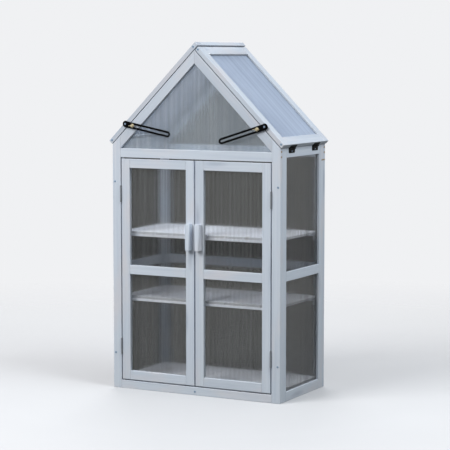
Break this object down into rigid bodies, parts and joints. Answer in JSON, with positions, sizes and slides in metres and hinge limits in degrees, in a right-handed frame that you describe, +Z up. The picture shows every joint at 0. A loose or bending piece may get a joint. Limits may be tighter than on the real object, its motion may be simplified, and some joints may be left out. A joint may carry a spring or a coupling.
{
  "type": "cabinet greenhouse",
  "caption": "Tall timber cabinet greenhouse with twin-wall sheet panes, paired doors, slatted shelves and hinged roof panels on slotted stays.",
  "frame": {"origin": "centre of the base, on the ground, at the middle of the overall width and depth", "axes": "+Z up, front doors face -Y, +X to the right seen from the front"},
  "size_m": [0.7712, 0.428, 1.3772],
  "materials": {
    "painted_timber": "thin blue-grey stain on softwood laths",
    "twin_wall_sheet": "clear twin-wall sheet with fine upright flutes",
    "black_steel": "black lacquer",
    "brass": "dull plated",
    "shelf_timber": "thin grey stain on softwood slats"
  },
  "bodies": {
    "carcass": {"front_posts": "painted_timber", "front_rails": "painted_timber", "front_left_rafter": "painted_timber", "front_right_rafter": "painted_timber", "front_gable_pane": "twin_wall_sheet", "back_posts": "painted_timber", "back_rails": "painted_timber", "back_left_rafter": "painted_timber", "back_right_rafter": "painted_timber", "back_gable_pane": "twin_wall_sheet", "back_panes": "twin_wall_sheet", "left_side_stiles": "painted_timber", "left_side_rails": "painted_timber", "left_side_panes": "twin_wall_sheet", "right_side_stiles": "painted_timber", "right_side_rails": "painted_timber", "right_side_panes": "twin_wall_sheet", "floor_slats": "shelf_timber", "lower_shelf_slats": "shelf_timber", "upper_shelf_slats": "shelf_timber", "shelf_battens": "painted_timber", "shelf_cleats": "painted_timber", "door_hinge_post_leaves": "black_steel", "roof_hinge_wall_leaves": "black_steel"},
    "left_door": {"left_door_stiles": "painted_timber", "left_door_rails": "painted_timber", "left_door_panes": "twin_wall_sheet", "left_door_handle": "painted_timber", "left_door_hinge_leaves": "black_steel"},
    "right_door": {"right_door_stiles": "painted_timber", "right_door_rails": "painted_timber", "right_door_panes": "twin_wall_sheet", "right_door_handle": "painted_timber", "right_door_hinge_leaves": "black_steel"},
    "left_roof": {"left_roof_stiles": "painted_timber", "left_roof_rails": "painted_timber", "left_roof_pane": "twin_wall_sheet", "left_roof_fittings": "black_steel"},
    "right_roof": {"right_roof_stiles": "painted_timber", "right_roof_rails": "painted_timber", "right_roof_pane": "twin_wall_sheet", "right_roof_fittings": "black_steel"},
    "left_stay": {"left_stay": "black_steel"},
    "right_stay": {"right_stay": "black_steel"},
    "left_nut": {"left_wing_nut": "brass"},
    "right_nut": {"right_wing_nut": "brass"}
  },
  "joints": [
    {"name": "left_door_hinge", "type": "hinge", "parent": "carcass", "child": "left_door", "pos_m": [-0.3315, -0.193, 0.475], "axis": [0, 0, -1], "range_deg": [0, 110]},
    {"name": "right_door_hinge", "type": "hinge", "parent": "carcass", "child": "right_door", "pos_m": [0.3315, -0.193, 0.475], "axis": [0, 0, 1], "range_deg": [0, 110]},
    {"name": "left_roof_hinge", "type": "hinge", "parent": "carcass", "child": "left_roof", "pos_m": [-0.373, 0.01, 0.97234], "axis": [0, -1, 0], "range_deg": [0, 85]},
    {"name": "right_roof_hinge", "type": "hinge", "parent": "carcass", "child": "right_roof", "pos_m": [0.373, 0.01, 0.97234], "axis": [0, 1, 0], "range_deg": [0, 85]},
    {"name": "left_stay_pivot", "type": "hinge", "parent": "left_roof", "child": "left_stay", "pos_m": [-0.30565, -0.196, 1.05632], "axis": [0, 1, 0], "range_deg": [0, 72.98]},
    {"name": "right_stay_pivot", "type": "hinge", "parent": "right_roof", "child": "right_stay", "pos_m": [0.30565, -0.196, 1.05632], "axis": [0, -1, 0], "range_deg": [0, 67.65]},
    {"name": "left_nut_slide", "type": "slide", "parent": "left_stay", "child": "left_nut", "axis": [0.9816, 0, -0.1908], "range_m": [0, 0.14463]},
    {"name": "right_nut_slide", "type": "slide", "parent": "right_stay", "child": "right_nut", "axis": [-0.9537, 0, -0.3007], "range_m": [0, 0.14368]}
  ],
  "couplings": [
    {"joint": "left_stay_pivot", "follows": "left_roof_hinge", "ratio": 0.85818},
    {"joint": "right_stay_pivot", "follows": "right_roof_hinge", "ratio": 0.79549},
    {"joint": "left_nut_slide", "follows": "left_roof_hinge", "m_per_rad": 0.09744},
    {"joint": "right_nut_slide", "follows": "right_roof_hinge", "m_per_rad": 0.096799}
  ]
}
